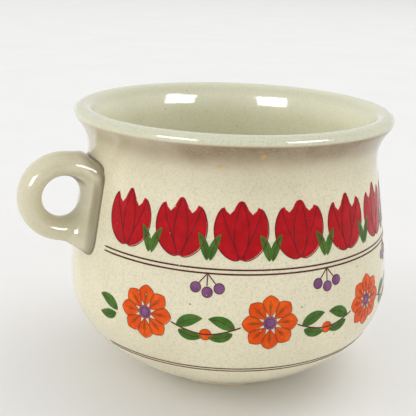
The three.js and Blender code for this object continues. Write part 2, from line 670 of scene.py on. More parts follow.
@dataclass
class WallChart:
    """The outside of the wall unrolled: distance round it and distance up it."""

    outline: np.ndarray
    handle_angle: float = math.pi

    def __post_init__(self) -> None:
        """Works out distances and outward directions along the outline."""
        steps = np.linalg.norm(np.diff(self.outline, axis=0), axis=1)
        self.up = np.concatenate([[0], np.cumsum(steps)])
        slope = np.gradient(self.outline, axis=0)
        slope /= np.linalg.norm(slope, axis=1)[:, None]
        self.outward = np.stack([slope[:, 1], -slope[:, 0]], axis=1)
        self.girth = self.outline[:, 0].max()

    def up_at(self, height: float) -> float:
        """Gives the distance up the wall at a height."""
        return float(np.interp(height, self.outline[:, 1], self.up))

    def round_at(self, degrees: float) -> float:
        """Gives the distance round the wall at an angle from the handle."""
        return math.radians(degrees) * self.girth

    def place(self, sheet: np.ndarray, lift: np.ndarray | float) -> np.ndarray:
        """Wraps flat points on to the wall.

        Args:
            sheet: Distance round and distance up, one point to a row.
            lift: How far each point stands off the wall.

        Returns:
            The points in space.
        """
        turn = self.handle_angle + sheet[:, 0] / self.girth
        radius, height, out_r, out_z = (
            np.interp(sheet[:, 1], self.up, values)
            for values in (*self.outline.T, *self.outward.T)
        )
        radius = radius + lift * out_r
        return np.stack([radius * np.cos(turn), radius * np.sin(turn), height + lift * out_z], axis=1)

    def spot(self, degrees: float, height: float) -> np.ndarray:
        """Gives the point on the wall at an angle from the handle and a height."""
        return self.place(np.array([[self.round_at(degrees), self.up_at(height)]]), 0.0)[0]

    def straight(self, low: float, high: float) -> tuple[float, float]:
        """Fits a straight line to the wall between two heights.

        Args:
            low: The lower height.
            high: The upper height.

        Returns:
            The line's radius at the table, and what the radius gains with each millimetre of height.
        """
        radius, height = self.outline.T
        band = (height > low) & (height < high)
        lean, root = np.polyfit(height[band], radius[band], 1).tolist()
        return root, lean

    def unroll(self, points: np.ndarray) -> np.ndarray:
        """Gives the distance round and the distance up the wall of points beside it.

        Args:
            points: Points in space, one to a row.

        Returns:
            Their places on the sheet.
        """
        turn = np.arctan2(points[:, 1], points[:, 0]) - self.handle_angle
        turn = (turn + math.pi) % (2 * math.pi) - math.pi
        return np.stack([turn * self.girth, np.interp(points[:, 2], self.outline[:, 1], self.up)], axis=1)

    def off_wall(self, points: np.ndarray) -> tuple[np.ndarray, np.ndarray]:
        """Measures how far points stand off the wall.

        Args:
            points: Points in space, in the last axis.

        Returns:
            The distances, and the wall's outward direction beside each point.
        """
        away = np.hypot(points[..., 0], points[..., 1])
        height = points[..., 2]
        radius, out_r, out_z = (
            np.interp(height, self.outline[:, 1], values)
            for values in (self.outline[:, 0], *self.outward.T)
        )
        outward = np.stack([out_r * points[..., 0] / away, out_r * points[..., 1] / away, out_z], axis=-1)
        return (away - radius) * out_r, outward


@dataclass
class TurnedBowl:
    """The turned bowl: foot ring, belly, neck, rolled lip and inside.

    A field that ends in pull or push is a share of a curve's span: how far the curve keeps its first or last
    direction.
    """

    height: float = BOWL_HIGH.z
    belly_radius: float = (BOWL_HIGH.y - BOWL_LOW.y) / 2
    rim_radius: float = 52.2
    belly_height: float = 32.7
    lip_overhang: float = 4.35
    neck_drop: float = 13.8
    lip_width: float = 6.45
    lip_drop: float = 2.1
    lip_crest_inset: float = 2.7
    # Painted shade and painted reflection under the lip.
    lip_inner_drop: float = 2.6
    lip_steps: int = 20
    brink_lean: float = 27.3
    brink_reach: float = 1.5
    throat_rise: float = 2.9
    throat_wall: float = 4.1
    wall: float = 4.2
    floor: float = 5.0
    flat_floor_radius: float = 18.0
    floor_ring: float = 0.55
    foot_radius: float = 25.5
    foot_height: float = 1.2
    foot_width: float = 3.2
    foot_edge: float = 0.4
    foot_edge_round: float = 0.3
    foot_recess: float = 1.5
    underside_rings: tuple[float, float] = (0.4, 0.8)
    standing_rows: range = range(4, 11)
    underbody_angle: float = 25.0
    underbody_pull: float = 0.63
    belly_push: float = 0.46
    belly_pull: float = 0.28
    neck_push: float = 0.12
    neck_pull: float = 0.62
    lip_push: float = 0.17
    lip_pull: float = 0.45
    crest_push: float = 0.72
    crest_pull: float = 0.65
    inside_pull: float = 0.28
    corner_pull: float = 0.6
    turns: int = 288
    piece: bpy.types.Object | None = None
    zones: list[Zone] = field(default_factory=list)

    @property
    def neck_height(self) -> float:
        """Height of the narrowest part of the neck."""
        return self.height - self.neck_drop

    @property
    def neck_radius(self) -> float:
        """Outside radius of the neck."""
        return self.rim_radius - self.lip_overhang

    @property
    def lip_edge(self) -> np.ndarray:
        """Radius and height of the lip's outer edge."""
        return np.array((self.rim_radius, self.height - self.lip_drop))

    def outer_wall(self) -> np.ndarray:
        """Draws the outside from the top of the foot to the edge of the lip.

        Returns:
            Points of (radius, height).
        """
        foot = np.array((self.foot_radius, self.foot_height))
        belly = np.array((self.belly_radius, self.belly_height))
        neck = np.array((self.neck_radius, self.neck_height))
        angle = math.radians(self.underbody_angle)
        leave = self.underbody_pull * (belly - foot)[0] * np.array((math.cos(angle), math.sin(angle)))
        spans = ((foot, belly), (belly, neck), (neck, self.lip_edge))
        swell, rise, flare = ((high - low) * UP for low, high in spans)
        return np.vstack([
            [foot],
            bezier(foot, foot + leave, belly - self.belly_push * swell, belly),
            bezier(belly, belly + self.belly_pull * rise, neck - self.neck_push * rise, neck),
            bezier(neck, neck + self.neck_pull * flare, self.lip_edge - self.lip_push * flare, self.lip_edge),
        ])

    def foot_ring(self) -> np.ndarray:
        """Draws the underside from its middle to the top of the foot.

        Returns:
            Points of (radius, height).
        """
        outer, inner = self.foot_radius, self.foot_radius - self.foot_width
        edge, recess = self.foot_edge, self.foot_recess
        cut = self.foot_edge_round * edge
        return np.array([
            *((inner * share, recess) for share in self.underside_rings),
            (inner - edge, recess),
            (inner - cut, recess - cut),
            (inner, recess - edge),
            (inner, edge),
            (inner + cut, cut),
            (inner + edge, 0),
            (outer - edge, 0),
            (outer - cut, cut),
            (outer, edge),
        ])

    def lip_and_inside(self) -> np.ndarray:
        """Draws the lip, the inside of the wall and the floor.

        Returns:
            Points of (radius, height), from the edge of the lip to near the middle of the floor.
        """
        edge = self.lip_edge
        crest = np.array((self.rim_radius - self.lip_crest_inset, self.height))
        brink = np.array((self.rim_radius - self.lip_width, self.height - self.lip_inner_drop))
        neck = np.array((self.neck_radius - self.throat_wall, self.neck_height + self.throat_rise))
        belly = np.array((self.belly_radius - self.wall, self.belly_height))
        floor = np.array((self.flat_floor_radius, self.foot_recess + self.floor))
        lean = math.radians(self.brink_lean)
        slope = np.array((math.sin(lean), math.cos(lean)))
        flare = (brink - neck)[1] / 3
        rise = self.inside_pull * (neck - belly) * UP
        corner = self.corner_pull * (belly - floor)
        roll_out = self.crest_push * self.lip_crest_inset * OUT
        roll_in = self.crest_pull * (crest - brink) * OUT
        return np.vstack([
            bezier(edge, edge + self.lip_pull * self.lip_drop * UP, crest + roll_out, crest, self.lip_steps),
            bezier(crest, crest - roll_in, brink + self.brink_reach * slope, brink, self.lip_steps),
            bezier(brink, brink - flare * slope, neck + flare * UP, neck),
            bezier(neck, neck - rise, belly + rise, belly),
            bezier(belly, belly - corner * UP, floor + corner * OUT, floor),
            [(floor[0] * self.floor_ring, floor[1])],
        ])

    def build(self) -> None:
        """Turns the profile into the bowl's mesh and closes it at both middles."""
        foot, wall, inside = self.foot_ring(), self.outer_wall(), self.lip_and_inside()
        self.zones = [Zone.FOOT] * len(foot) + [Zone.OUTSIDE] * (len(wall) + self.lip_steps)
        self.zones += [Zone.INSIDE] * (len(inside) - self.lip_steps)
        profile = np.vstack([foot, wall, inside])
        turn = np.linspace(0, 2 * math.pi, self.turns, endpoint=False)
        rings = np.stack([
            np.outer(profile[:, 0], np.cos(turn)),
            np.outer(profile[:, 0], np.sin(turn)),
            np.repeat(profile[:, 1:], self.turns, axis=1),
        ], axis=-1)
        middles = [(0, 0, profile[0, 1]), (0, 0, profile[-1, 1])]
        points = np.vstack([rings.reshape(-1, 3), middles])
        faces = ring_faces(len(profile), self.turns, closed_rows=False)
        under, over = len(points) - 2, len(points) - 1
        last = (len(profile) - 1) * self.turns
        faces += [((spoke + 1) % self.turns, spoke, under) for spoke in range(self.turns)]
        faces += [(last + spoke, last + (spoke + 1) % self.turns, over) for spoke in range(self.turns)]
        self.piece = add_piece("bowl", points, faces)
        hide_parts("bowl_body")

    def dress(self, foot: BareClay, outside: Glaze, inside: Glaze) -> None:
        """Gives each zone of the profile its finish.

        Args:
            foot: Finish of the standing ring.
            outside: Finish of the wall and lip.
            inside: Finish of the inside.
        """
        mesh = self.piece.data
        for finish in (foot, outside, inside):
            mesh.materials.append(finish.material())
        zone_of_row = [
            Zone.OUTSIDE if zone is Zone.FOOT and row not in self.standing_rows else zone
            for row, zone in enumerate(self.zones[:-1])
        ]
        indices = np.repeat([zone.value for zone in zone_of_row], self.turns).tolist()
        indices += [Zone.OUTSIDE.value] * self.turns + [Zone.INSIDE.value] * self.turns
        mesh.polygons.foreach_set("material_index", indices)


@dataclass
class LoopHandle:
    """The closed-loop handle, whose strand widens into a broad back that is luted to the wall.

    The skirt is the stretch over which it widens. The brow and the heel draw the skirt out above and below.
    The base is the outline that the back leaves on the wall. Rounds say how often points are evened.
    """

    chart: WallChart
    neck_height: float
    drop: float = 14.6
    loop_height: float = 28.8
    reach: float = 21.9
    strand_thickness: float = 7.7
    strand_width: float = 11.0
    strand_taper: float = 0.1
    back_width: float = 26.4
    back_tail: float = 4.6
    back_head: float = 0.4
    section_bunching: float = 1.4
    section_squareness: float = 4.0
    firm_range: tuple[float, float] = (-1.0, 0.4)
    back_squareness: float = 6.0
    hole_squareness: float = 2.0
    web: float = 0.9
    seat: float = 1.1
    sink: float = 3.5
    skirt_from: float = 2.8
    skirt_to: float = -1.3
    skirt_curve: float = 1.5
    brow: float = 7.5
    heel: float = 2.2
    brow_heights: tuple[float, float] = (5.0, 11.0)
    fillet: float = 0.5
    least_slope: float = 0.3
    base_half_width: float = 12.9
    base_half_height: float = 14.3
    base_drop: float = 1.4
    base_squareness: float = 8.0
    base_depth: float = 3.0
    loop_rounds: tuple[int, ...] = (60, 30)
    base_rounds: tuple[int, ...] = (24, 16)
    seam_rounds: tuple[int, ...] = (4,)
    loop_steps: int = 360
    section_steps: int = 128
    seam_steps: int = 240
    rings: np.ndarray | None = None
    piece: bpy.types.Object | None = None

    def surface(self) -> np.ndarray:
        """Draws the loop, square to the leaning wall.

        Returns:
            Points in space, as rings of section points round the loop.
        """
        outer_half = self.loop_height / 2
        hole_half = outer_half - self.strand_thickness
        centre = self.reach - outer_half
        turn = np.linspace(0, 2 * math.pi, self.loop_steps, endpoint=False)[:, None]
        even = np.linspace(0, 2 * math.pi, self.section_steps, endpoint=False)[None, :]
        sine = np.sign(np.sin(even)) * np.abs(np.sin(even)) ** self.section_bunching
        cosine = np.sign(np.cos(even)) * np.sqrt(1 - sine**2)
        faces_wall = np.cos(turn) < 0
        back = self.oval(turn, centre + self.sink, outer_half, self.back_squareness)
        outer = np.where(faces_wall, back, outer_half)
        hole_back = centre - self.seat - self.web
        hole_oval = self.oval(turn, hole_back, hole_half, self.hole_squareness)
        hole = np.where(faces_wall, hole_oval, hole_half)
        half = (outer - hole) / 2
        along = hole + half + half * cosine
        out = centre + along * np.cos(turn)
        level = along * np.sin(turn)
        skirt = self.skirt_from + self.brow * smoothstep(*self.brow_heights, level)
        skirt = skirt + self.heel * smoothstep(*self.brow_heights, -level)
        flare = smoothstep(-skirt, -self.skirt_to, -out) ** self.skirt_curve
        up = level + level / outer_half * flare * np.where(level < 0, self.back_tail, self.back_head)
        firm = smoothstep(*self.firm_range, cosine)
        power = 2 / (2 + (self.section_squareness - 2) * flare * firm)
        strand = self.strand_width + self.strand_taper * (out - centre)
        width = (strand + (self.back_width - strand) * flare) / 2
        side = width * np.sign(sine) * np.abs(sine) ** power
        foot, outward = self.stand()
        upward = np.cross(outward, (0, 1, 0))
        upward *= math.copysign(1, upward[2])
        sideways = np.array((0.0, 1.0, 0.0))
        return foot + out[..., None] * outward + up[..., None] * upward + side[..., None] * sideways

    def stand(self) -> tuple[np.ndarray, np.ndarray]:
        """Finds the place on the wall that the loop stands on.

        Returns:
            The place, and the wall's outward direction there.
        """
        foot = self.chart.spot(0.0, self.seat_height)
        _, outward = self.chart.off_wall(foot)
        return foot, outward

    @property
    def hole_middle(self) -> np.ndarray:
        """Middle of the finger hole."""
        foot, outward = self.stand()
        return foot + (self.reach - self.loop_height / 2) * outward

    @staticmethod
    def oval(angle: np.ndarray, half_width: float, half_height: float, squareness: float) -> np.ndarray:
        """Gives the distance from the centre of an oval to its edge.

        Args:
            angle: Directions to look in.
            half_width: Half of the oval's width.
            half_height: Half of its height.
            squareness: 2 for an ellipse, more for squarer corners.

        Returns:
            The distance in each direction.
        """
        across = np.abs(np.cos(angle) / half_width) ** squareness
        upward = np.abs(np.sin(angle) / half_height) ** squareness
        return (across + upward) ** (-1 / squareness)

    @staticmethod
    def soften(values: np.ndarray, rounds: Sequence[int]) -> np.ndarray:
        """Evens out small steps between neighbours.

        Args:
            values: Points of the loop, or distances along its seam.
            rounds: How many times to even them along each axis: first along the strand, then across it.

        Returns:
            The evened values.
        """
        for axis, count in enumerate(rounds):
            for _ in range(count):
                values = 0.5 * values + 0.25 * (np.roll(values, 1, axis) + np.roll(values, -1, axis))
        return values

    @property
    def seat_height(self) -> float:
        """Height on the wall that the loop stands at."""
        return self.neck_height - self.drop

    @property
    def middle(self) -> np.ndarray:
        """Middle of the back on the unrolled wall."""
        return np.array((0.0, self.chart.up_at(self.seat_height) - self.base_drop))

    def seam(self, rings: np.ndarray) -> tuple[np.ndarray, np.ndarray]:
        """Follows the line where the loop meets the wall.

        Args:
            rings: Points of the loop.

        Returns:
            Rising bearings about the middle of the back, and the line's distance along each.
        """
        off, _ = self.chart.off_wall(rings)
        crossings = []
        for axis in (0, 1):
            beside, beyond = np.roll(rings, -1, axis), np.roll(off, -1, axis)
            cut = (off > 0) != (beyond > 0)
            share = (off[cut] / (off[cut] - beyond[cut]))[:, None]
            crossings.append(rings[cut] + share * (beside[cut] - rings[cut]))
        spokes = self.chart.unroll(np.vstack(crossings)) - self.middle
        bearing = np.arctan2(spokes[:, 1], spokes[:, 0])
        order = np.argsort(bearing)
        even = np.linspace(-math.pi, math.pi, self.seam_steps, endpoint=False)
        reach = np.interp(even, bearing[order], np.hypot(*spokes.T)[order], period=2 * math.pi)
        return even, self.soften(reach, self.seam_rounds)

    def spread(self, rings: np.ndarray) -> np.ndarray:
        """Draws the back out over the wall, to the outline that it leaves there.

        Args:
            rings: Points of the loop.

        Returns:
            The points, moved along the wall where they are close to it.
        """
        points = rings.reshape(-1, 3)
        off, _ = self.chart.off_wall(points)
        flat = self.chart.unroll(points)
        spokes = flat - self.middle
        bearing = np.arctan2(spokes[:, 1], spokes[:, 0])
        now = np.interp(bearing, *self.seam(rings), period=2 * math.pi)
        wanted = self.oval(bearing, self.base_half_width, self.base_half_height, self.base_squareness)
        share = 1 - smoothstep(0, self.base_depth, off)
        share *= np.clip(np.hypot(*spokes.T) / now, 0, 1) ** 2
        moved = self.middle + spokes * (1 + (wanted / now - 1) * share)[:, None]
        shift = self.chart.place(moved, off) - self.chart.place(flat, off)
        return (points + shift).reshape(rings.shape)

    def flow_to_wall(self, rings: np.ndarray) -> np.ndarray:
        """Draws a small concave fillet of slip where the back meets the wall.

        Args:
            rings: Points of the loop.

        Returns:
            The points, spread out beside the wall.
        """
        along = np.roll(rings, -1, 0) - np.roll(rings, 1, 0)
        across = np.roll(rings, -1, 1) - np.roll(rings, 1, 1)
        normal = np.cross(along, across)
        normal /= np.maximum(np.linalg.norm(normal, axis=-1, keepdims=True), 1e-9)
        off, outward = self.chart.off_wall(rings)
        sideways = normal - (normal * outward).sum(-1, keepdims=True) * outward
        length = np.linalg.norm(sideways, axis=-1, keepdims=True)
        sideways /= np.maximum(length, self.least_slope)
        left = np.clip(self.fillet - off, 0, self.fillet)
        spread = self.fillet - np.sqrt(self.fillet**2 - left**2)
        return rings + spread[..., None] * sideways

    def build(self) -> None:
        """Makes the handle's mesh."""
        rings = self.spread(self.soften(self.surface(), self.loop_rounds))
        self.rings = self.flow_to_wall(self.soften(rings, self.base_rounds))
        faces = ring_faces(self.loop_steps, self.section_steps, closed_rows=True)
        self.piece = add_piece("loop_handle", self.rings.reshape(-1, 3), faces, sharp_angle=180)
        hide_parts("handle")

    def dress(self, finish: Glaze) -> None:
        """Glazes the handle."""
        self.piece.data.materials.append(finish.material())


@dataclass
class SlipSeam:
    """The thin bead of luting slip round the handle's back. Its section is in shares of width and height."""

    chart: WallChart
    handle: LoopHandle
    width: float = 0.75
    height: float = 0.2
    section: tuple[tuple[float, float], ...] = (
        (0.5, -0.1), (0.4, 0.6), (0.0, 1.0), (-0.5, 1.0), (-0.5, -0.1),
    )
    piece: bpy.types.Object | None = None

    def build(self) -> None:
        """Makes the bead's mesh."""
        bearing, reach = self.handle.seam(self.handle.rings)
        line = self.handle.middle + reach[:, None] * np.stack([np.cos(bearing), np.sin(bearing)], axis=1)
        way = np.roll(line, -1, 0) - np.roll(line, 1, 0)
        side = np.stack([way[:, 1], -way[:, 0]], axis=1) / np.linalg.norm(way, axis=1)[:, None]
        bands = [
            self.chart.place(line + across * self.width * side, lift * self.height)
            for across, lift in self.section
        ]
        points = np.stack(bands, axis=1).reshape(-1, 3)
        faces = ring_faces(len(line), len(self.section), closed_rows=True)
        self.piece = add_piece("slip_seam", points, faces, sharp_angle=60)
        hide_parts("handle_slip")

    def dress(self, finish: Glaze) -> None:
        """Glazes the bead."""
        self.piece.data.materials.append(finish.material())


class Ink(Enum):
    """A print colour: its finish and how far it stands off the glaze, in millimetres."""

    RED = (Enamel("red_enamel", srgb(166, 0, 10), srgb(190, 6, 22)), 0.03)
    ORANGE = (Enamel("orange_enamel", srgb(218, 70, 0), srgb(236, 100, 6)), 0.03)
    GREEN = (Enamel("green_enamel", srgb(52, 98, 26), srgb(78, 122, 44)), 0.05)
    VIOLET = (Enamel("violet_enamel", srgb(112, 66, 112), srgb(140, 92, 134)), 0.05)
    RUST = (Enamel("rust_enamel", srgb(150, 66, 10), srgb(172, 84, 18)), 0.07)
    MAROON = (Enamel("maroon_enamel", srgb(96, 14, 24), srgb(116, 22, 32)), 0.07)
    BROWN = (Enamel("brown_enamel", srgb(82, 42, 34), srgb(104, 60, 48)), 0.07)


@dataclass(frozen=True)
class Spot:
    """A place on the flat sheet, with a turn in degrees clockwise."""

    along: float
    up: float
    turn: float = 0.0

    def set(self, points: np.ndarray) -> np.ndarray:
        """Moves points drawn about the origin to this place."""
        c, s = math.cos(math.radians(self.turn)), math.sin(math.radians(self.turn))
        return points @ np.array([(c, -s), (s, c)]) + (self.along, self.up)


@dataclass(frozen=True)
class Petal:
    """A drop-shaped petal or leaf, which may bend to the right."""

    length: float
    width: float
    widest: float = 0.5
    bend: float = 0.0
    fullness: float = 0.8

    def spine(self, steps: int = 24) -> tuple[np.ndarray, np.ndarray]:
        """Draws the middle line.

        Args:
            steps: How many steps it has.

        Returns:
            Its points, and the heading at each in radians clockwise from straight up.
        """
        heading = np.linspace(0, math.radians(self.bend), steps + 1)
        pace = np.stack([np.sin(heading), np.cos(heading)], axis=1) * self.length / steps
        points = np.vstack([(0, 0), np.cumsum((pace[1:] + pace[:-1]) / 2, axis=0)])
        return points, heading

    def outline(self) -> np.ndarray:
        """Draws the edge.

        Returns:
            Its points, from the root round the tip and back.
        """
        points, heading = self.spine()
        share = np.linspace(0, 1, len(points)) ** (math.log(0.5) / math.log(self.widest))
        half = self.width / 2 * np.sin(math.pi * share).clip(0, 1) ** self.fullness
        side = np.stack([np.cos(heading), -np.sin(heading)], axis=1) * half[:, None]
        return np.vstack([points + side, (points - side)[-2:0:-1]])


def disc(radius: float, least_points: int = 14, points_per_mm: int = 16) -> np.ndarray:
    """Draws a round dot about the origin."""
    turn = np.linspace(0, 2 * math.pi, max(least_points, round(radius * points_per_mm)), endpoint=False)
    return radius * np.stack([np.cos(turn), np.sin(turn)], axis=1)


@dataclass
class PrintSheet:
    """The flat transfer: patches of each ink, which are then wrapped on to the wall."""

    chart: WallChart
    pitch: float = 1.2
    under: float = 0.05
    margin: float = 0.4
    weld: float = 1e-4
    line_end: float = 0.35
    lift_step: float = 0.004
    lift_levels: int = 4
    patches: dict[Ink, list[tuple[np.ndarray, list[Face]]]] = field(default_factory=dict)

    def fill(self, ink: Ink, *outlines: np.ndarray) -> None:
        """Prints the area that some outlines cover together.

        Args:
            ink: The colour.
            outlines: Closed outlines on the sheet.
        """
        rim = np.vstack(outlines)
        edges, first = [], 0
        for outline in outlines:
            count = len(outline)
            edges += [(first + i, first + (i + 1) % count) for i in range(count)]
            first += count
        spans = (np.arange(low, high, self.pitch) for low, high in zip(rim.min(0), rim.max(0), strict=True))
        grid = np.stack(np.meshgrid(*spans), -1).reshape(-1, 2)
        inside = np.zeros(len(grid), bool)
        for outline in outlines:
            inside |= self.covers(outline, grid)
        room = self.margin * self.pitch
        clear = [np.linalg.norm(rim - point, axis=1).min() > room for point in grid[inside]]
        corners = np.vstack([rim, grid[inside][clear]])
        made = delaunay_2d_cdt([Vector(corner) for corner in corners], edges, [], 1, self.weld, False)
        self.patches.setdefault(ink, []).append((np.array([tuple(v) for v in made[0]]), list(made[2])))

    @staticmethod
    def covers(outline: np.ndarray, points: np.ndarray) -> np.ndarray:
        """Tells which points lie inside an outline.

        Args:
            outline: A closed outline.
            points: Points to look at, one to a row.

        Returns:
            Whether each point lies inside.
        """
        start, end = outline, np.roll(outline, -1, axis=0)
        x, y = points[:, :1], points[:, 1:]
        spans = (start[:, 1] > y) != (end[:, 1] > y)
        rise = np.where(end[:, 1] == start[:, 1], 1e-9, end[:, 1] - start[:, 1])
        crossing = start[:, 0] + (y - start[:, 1]) / rise * (end[:, 0] - start[:, 0])
        return (spans & (x < crossing)).sum(axis=1) % 2 == 1

    def stroke(self, ink: Ink, line: np.ndarray, width: float, closed: bool = False) -> None:
        """Prints a pen line.

        Args:
            ink: The colour.
            line: Points of its middle.
            width: Its width.
            closed: Whether it ends where it starts.
        """
        if closed:
            ahead, behind = np.roll(line, -1, axis=0), np.roll(line, 1, axis=0)
        else:
            ahead, behind = np.vstack([line[1:], line[-1:]]), np.vstack([line[:1], line[:-1]])
        way = ahead - behind
        way /= np.linalg.norm(way, axis=1)[:, None]
        side = np.stack([way[:, 1], -way[:, 0]], axis=1) * width / 2
        if not closed:
            side[[0, -1]] *= self.line_end
        count = len(line)
        steps = count if closed else count - 1
        faces = [(i, (i + 1) % count, count + (i + 1) % count, count + i) for i in range(steps)]
        self.patches.setdefault(ink, []).append((np.vstack([line + side, line - side]), faces))

    def build(self) -> None:
        """Makes one thin closed mesh for each ink."""
        for ink, patches in self.patches.items():
            finish, lift = ink.value
            points, faces, first = [], [], 0
            for order, (flat, tops) in enumerate(patches):
                height = lift + self.lift_step * (order % self.lift_levels)
                points += [self.chart.place(flat, height), self.chart.place(flat, -self.under)]
                faces += self.shell(tops, first, len(flat))
                first += 2 * len(flat)
            piece = add_piece(f"print_{ink.name.lower()}", np.vstack(points), faces, sharp_angle=30)
            piece.data.materials.append(finish.material())

    @staticmethod
    def shell(tops: list[Face], first: int, count: int) -> list[Face]:
        """Closes a patch with an underside and edges.

        Args:
            tops: The patch's faces.
            first: Number of its first corner.
            count: How many corners it has on each side.

        Returns:
            All faces of the closed patch.
        """
        sides = {(a, b) for face in tops for a, b in zip(face, [*face[1:], face[0]], strict=True)}
        rims = [(a, b) for a, b in sides if (b, a) not in sides]
        faces = [[first + corner for corner in face] for face in tops]
        faces += [[first + count + corner for corner in reversed(face)] for face in tops]
        faces += [[first + b, first + a, first + count + a, first + count + b] for a, b in sorted(rims)]
        return faces


@dataclass(frozen=True)
class Tulip:
    """A bold tulip of three petals with a fine dark edge, which is printed a little out of place."""

    height: float = 16.2
    width: float = 4.5
    widest: float = 0.42
    middle_rise: float = 0.6
    side_length_share: float = 1.02
    side_width_share: float = 1.06
    side_widest: float = 0.44
    side_step: float = 0.7
    side_lean: float = 55.0
    side_bend: float = -68.2
    pen: float = 0.28
    shift: tuple[float, float] = (0.22, -0.18)

    def draw(self, sheet: PrintSheet, spot: Spot) -> None:
        """Prints the flower with its root at a spot.

        Args:
            sheet: The sheet to print on.
            spot: Where its root is.
        """
        middle = Petal(self.height, self.width, self.widest)
        outlines = [spot.set(middle.outline() + (0, self.middle_rise))]
        length, width = self.height * self.side_length_share, self.width * self.side_width_share
        for side in (1, -1):
            petal = Petal(length, width, self.side_widest, side * self.side_bend)
            root = Spot(side * self.side_step, 0, side * self.side_lean)
            outlines.append(spot.set(root.set(petal.outline())))
        sheet.fill(Ink.RED, *outlines)
        for outline in outlines:
            sheet.stroke(Ink.MAROON, outline + self.shift, self.pen, closed=True)


@dataclass(frozen=True)
class Leaf:
    """A green leaf with a brown rib."""

    length: float
    width: float
    bend: float
    widest: float = 0.45
    rib_from: int = 2
    rib_to: int = -3
    pen: float = 0.28

    def draw(self, sheet: PrintSheet, spot: Spot) -> None:
        """Prints the leaf with its root at a spot.

        Args:
            sheet: The sheet to print on.
            spot: Where its root is and which way it points.
        """
        blade = Petal(self.length, self.width, self.widest, self.bend)
        sheet.fill(Ink.GREEN, spot.set(blade.outline()))
        rib = blade.spine()[0][self.rib_from:self.rib_to]
        sheet.stroke(Ink.BROWN, spot.set(rib), self.pen)


@dataclass(frozen=True)
class LeafPlace:
    """A leaf and its place to the right of a middle, from which it can be mirrored to the left."""

    leaf: Leaf
    along: float
    up: float
    turn: float

    def draw(self, sheet: PrintSheet, middle: Spot, side: int) -> None:
        """Prints the leaf.

        Args:
            sheet: The sheet to print on.
            middle: The middle that it stands beside.
            side: 1 for the right, -1 for the left.
        """
        leaf = replace(self.leaf, bend=side * self.leaf.bend)
        leaf.draw(sheet, Spot(middle.along + side * self.along, middle.up + self.up, side * self.turn))


@dataclass(frozen=True)
class Rosette:
    """A round orange flower with rust lines and a violet eye."""

    petals: int = 8
    length: float = 6.6
    width: float = 5.0
    widest: float = 0.62
    eye: float = 2.1
    eye_line: float = 0.62
    petal_root: float = 0.85
    vein_root: float = 1.05
    veins: tuple[tuple[float, float], ...] = ((-16, 0.55), (0, 0.72), (16, 0.55))
    vein_steps: int = 8
    vein_pen: float = 0.3
    pen: float = 0.26
    shift: tuple[float, float] = (0.16, -0.14)

    def draw(self, sheet: PrintSheet, spot: Spot) -> None:
        """Prints the flower about a spot.

        Args:
            sheet: The sheet to print on.
            spot: Its middle.
        """
        petal = Petal(self.length, self.width, self.widest)
        for turn in np.arange(self.petals) * 360 / self.petals:
            root = Spot(0, 0, turn)
            outline = root.set(petal.outline() + (0, self.eye * self.petal_root))
            sheet.fill(Ink.ORANGE, spot.set(outline))
            sheet.stroke(Ink.RUST, spot.set(outline) + self.shift, self.pen, closed=True)
            for bend, reach in self.veins:
                line = Petal(self.length * reach, 0, bend=bend).spine(self.vein_steps)[0]
                vein = root.set(line + (0, self.eye * self.vein_root))
                sheet.stroke(Ink.RUST, spot.set(vein), self.vein_pen)
        sheet.fill(Ink.VIOLET, spot.set(disc(self.eye)))
        sheet.stroke(Ink.BROWN, spot.set(disc(self.eye * self.eye_line)), self.pen, closed=True)


@dataclass(frozen=True)
class Berries:
    """Three violet berries on short stalks."""

    radius: float = 1.55
    stalk: float = 4.2
    stalk_steps: int = 6
    stalk_pen: float = 0.34
    overlap: float = 0.2
    turns: tuple[float, ...] = (140, 180, 220)
    pen: float = 0.24
    shift: tuple[float, float] = (0.12, -0.1)

    def draw(self, sheet: PrintSheet, spot: Spot) -> None:
        """Prints the berries hanging from a spot.

        Args:
            sheet: The sheet to print on.
            spot: Where their stalks meet.
        """
        stem = Petal(self.stalk, 0).spine(self.stalk_steps)[0]
        for turn in self.turns:
            root = Spot(0, 0, turn)
            sheet.stroke(Ink.BROWN, spot.set(root.set(stem)), self.stalk_pen)
            berry = root.set(disc(self.radius) + (0, self.stalk + (1 - self.overlap) * self.radius))
            sheet.fill(Ink.VIOLET, spot.set(berry))
            sheet.stroke(Ink.BROWN, spot.set(berry) + self.shift, self.pen, closed=True)


